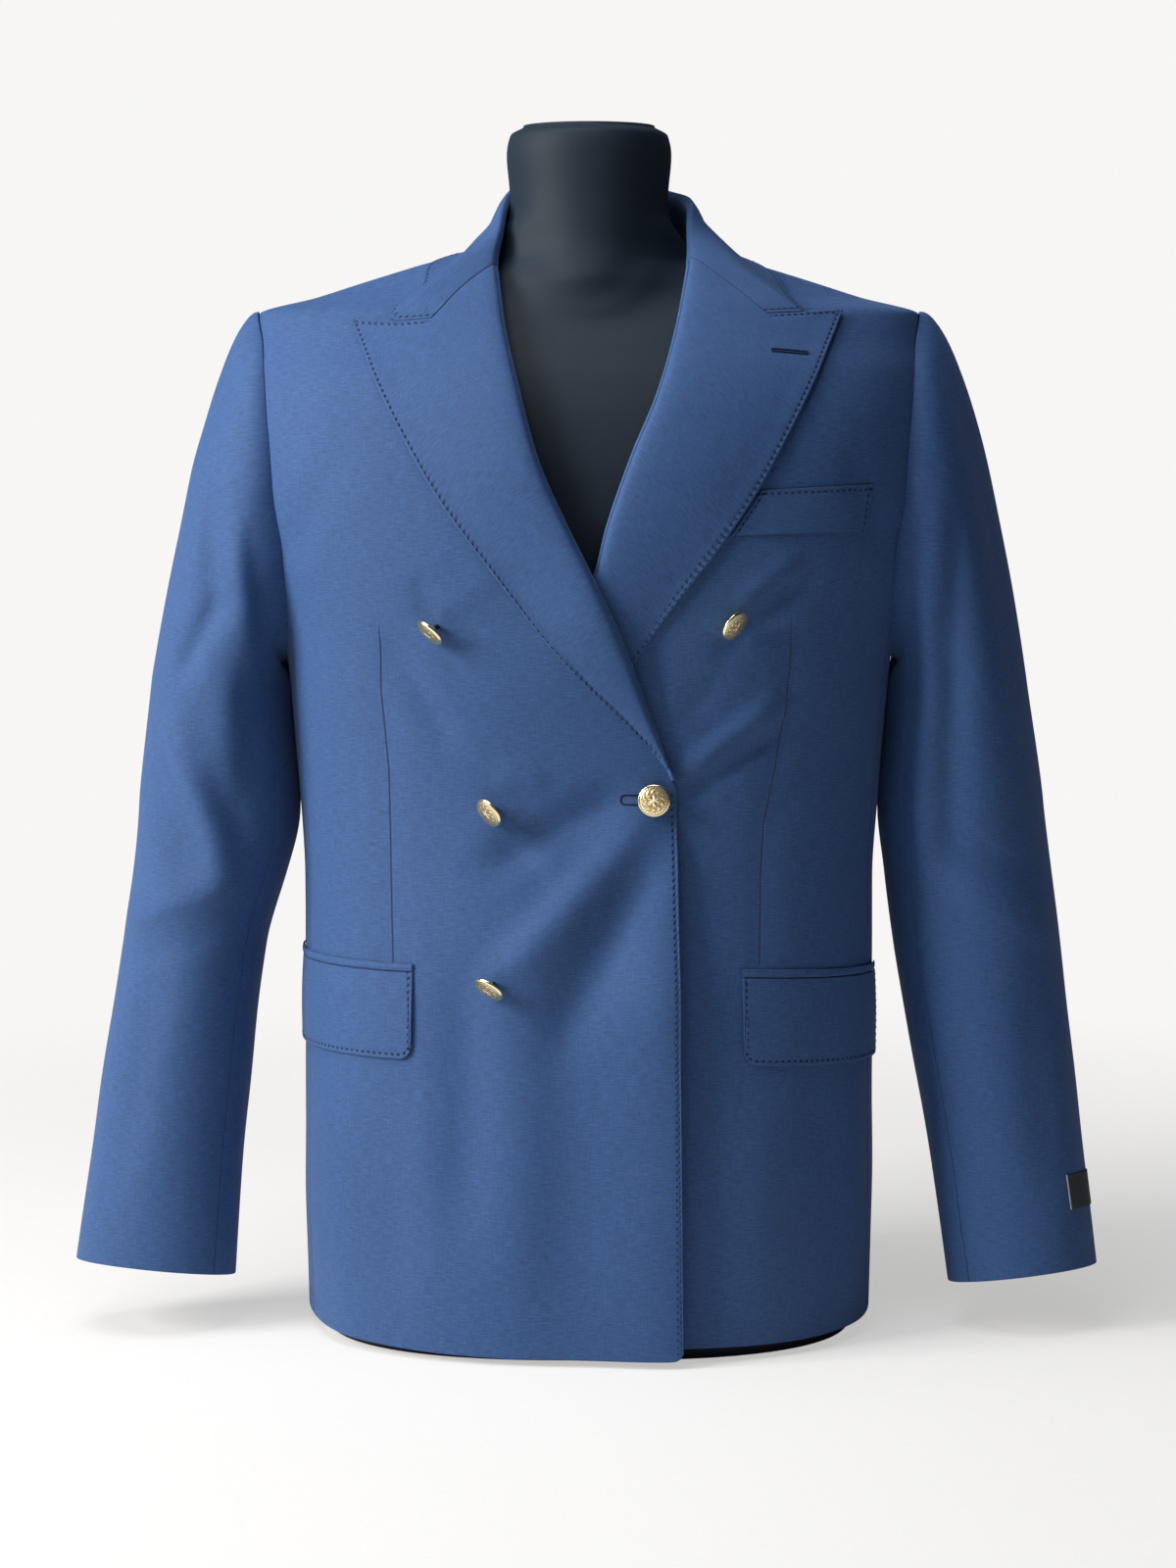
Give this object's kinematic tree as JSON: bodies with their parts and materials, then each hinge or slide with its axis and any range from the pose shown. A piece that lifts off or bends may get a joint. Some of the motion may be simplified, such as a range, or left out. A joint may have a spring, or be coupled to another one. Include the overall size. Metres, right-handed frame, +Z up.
{
  "type": "double breasted blazer on a dress form",
  "caption": "Double-breasted wool blazer with peaked lapels, flap pockets and gilt shank buttons, worn by a limbless dress form.",
  "frame": {"origin": "centre of the dress form's flat base, on the floor", "axes": "+Z up, -Y to the front of the blazer, +X to the wearer's left"},
  "size_m": [0.679, 0.2822, 0.7912],
  "materials": {
    "cloth": "fine plain-weave blue wool, matt with a slight nap",
    "buttons": "polished gilt, domed, with a fine ring relief",
    "label": "dark woven ribbon, bare",
    "form": "matt black jersey cover over a hard shell"
  },
  "bodies": {
    "root": {"front_right": "cloth", "front_left": "cloth", "side_panel_right": "cloth", "side_panel_left": "cloth", "back_right": "cloth", "back_left": "cloth", "top_sleeve_right": "cloth", "top_sleeve_left": "cloth", "under_sleeve_right": "cloth", "under_sleeve_left": "cloth", "lapel_right": "cloth", "lapel_left": "cloth", "collar": "cloth", "breast_welt": "cloth", "flap_right": "cloth", "flap_left": "cloth", "jetting_right": "cloth", "jetting_left": "cloth", "button_upper_right": "buttons", "button_upper_left": "buttons", "button_middle_right": "buttons", "button_middle_left": "buttons", "button_lower_right": "buttons", "button_lower_left": "buttons", "sleeve_label": "label", "dress_form": "form"}
  },
  "joints": []
}
